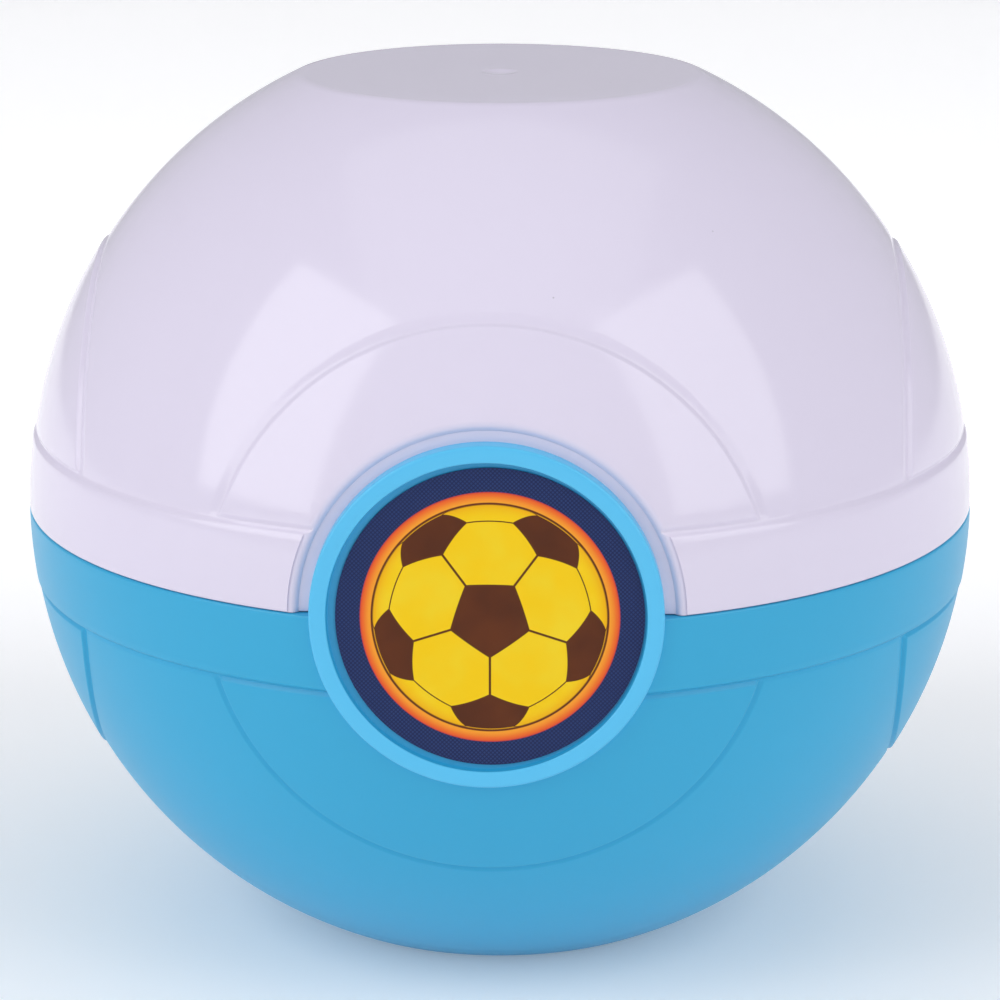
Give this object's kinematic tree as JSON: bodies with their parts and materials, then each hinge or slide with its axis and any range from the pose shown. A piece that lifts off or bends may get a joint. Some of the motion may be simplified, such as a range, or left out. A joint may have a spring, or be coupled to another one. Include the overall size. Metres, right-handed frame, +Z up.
{
  "type": "ball-shaped tabletop football game",
  "caption": "Hinged ball case whose flat-bottomed base holds a small rod football field, with sliding and spinning rods, thumb knobs, goals and a loose ball.",
  "frame": {"origin": "centre of the base's flat underside, where the ball rests", "axes": "+Z up; the round badge faces -Y and the hinge is at +Y; the rods lie along X"},
  "size_m": [0.14, 0.1436, 0.126],
  "materials": {
    "base_blue": "satin",
    "lid_white": "gloss",
    "sticker": "printed, semi-gloss",
    "steel": "satin",
    "tray_white": "satin",
    "field_green": "printed, semi-matte",
    "red_plastic": "gloss",
    "blue_plastic": "gloss",
    "screw_steel": "bright",
    "rubber": "matte",
    "ball_white": "satin"
  },
  "bodies": {
    "base": {"base_shell": "base_blue", "badge_sticker": "sticker", "hinge_pin": "steel", "pitch_tray": "tray_white", "pitch_sheet": "field_green", "front_goal": "red_plastic", "rear_goal": "blue_plastic", "left_rail_cap": "tray_white", "right_rail_cap": "tray_white", "tray_screws": "screw_steel", "rail_screws": "screw_steel"},
    "lid": {"lid_shell": "lid_white"},
    "ball": {"game_ball": "ball_white"},
    "red_keeper_slider": {"red_keeper_bumpers": "rubber"},
    "red_keeper_rod": {"red_keeper_shaft": "steel", "red_keeper_players": "red_plastic", "red_keeper_knob": "red_plastic", "red_keeper_end_cap": "red_plastic"},
    "blue_attack_slider": {"blue_attack_bumpers": "rubber"},
    "blue_attack_rod": {"blue_attack_shaft": "steel", "blue_attack_players": "blue_plastic", "blue_attack_knob": "blue_plastic", "blue_attack_end_cap": "blue_plastic"},
    "red_attack_slider": {"red_attack_bumpers": "rubber"},
    "red_attack_rod": {"red_attack_shaft": "steel", "red_attack_players": "red_plastic", "red_attack_knob": "red_plastic", "red_attack_end_cap": "red_plastic"},
    "blue_keeper_slider": {"blue_keeper_bumpers": "rubber"},
    "blue_keeper_rod": {"blue_keeper_shaft": "steel", "blue_keeper_players": "blue_plastic", "blue_keeper_knob": "blue_plastic", "blue_keeper_end_cap": "blue_plastic"}
  },
  "joints": [
    {"name": "lid_hinge", "type": "hinge", "parent": "base", "child": "lid", "pos_m": [0, 0.0736, 0.063], "axis": [-1, 0, 0], "range_deg": [0, 180]},
    {"name": "ball_lift", "type": "slide", "parent": "base", "child": "ball", "axis": [0, 0, 1], "range_m": [0, 0.01]},
    {"name": "red_keeper_slide", "type": "slide", "parent": "base", "child": "red_keeper_slider", "axis": [1, 0, 0], "range_m": [-0.005, 0.005]},
    {"name": "red_keeper_spin", "type": "hinge", "parent": "red_keeper_slider", "child": "red_keeper_rod", "pos_m": [0, -0.036, 0.0645], "axis": [1, 0, 0], "continuous": true},
    {"name": "blue_attack_slide", "type": "slide", "parent": "base", "child": "blue_attack_slider", "axis": [1, 0, 0], "range_m": [-0.005, 0.005]},
    {"name": "blue_attack_spin", "type": "hinge", "parent": "blue_attack_slider", "child": "blue_attack_rod", "pos_m": [0, -0.012, 0.0645], "axis": [1, 0, 0], "continuous": true},
    {"name": "red_attack_slide", "type": "slide", "parent": "base", "child": "red_attack_slider", "axis": [1, 0, 0], "range_m": [-0.005, 0.005]},
    {"name": "red_attack_spin", "type": "hinge", "parent": "red_attack_slider", "child": "red_attack_rod", "pos_m": [0, 0.012, 0.0645], "axis": [1, 0, 0], "continuous": true},
    {"name": "blue_keeper_slide", "type": "slide", "parent": "base", "child": "blue_keeper_slider", "axis": [1, 0, 0], "range_m": [-0.005, 0.005]},
    {"name": "blue_keeper_spin", "type": "hinge", "parent": "blue_keeper_slider", "child": "blue_keeper_rod", "pos_m": [0, 0.036, 0.0645], "axis": [1, 0, 0], "continuous": true}
  ]
}
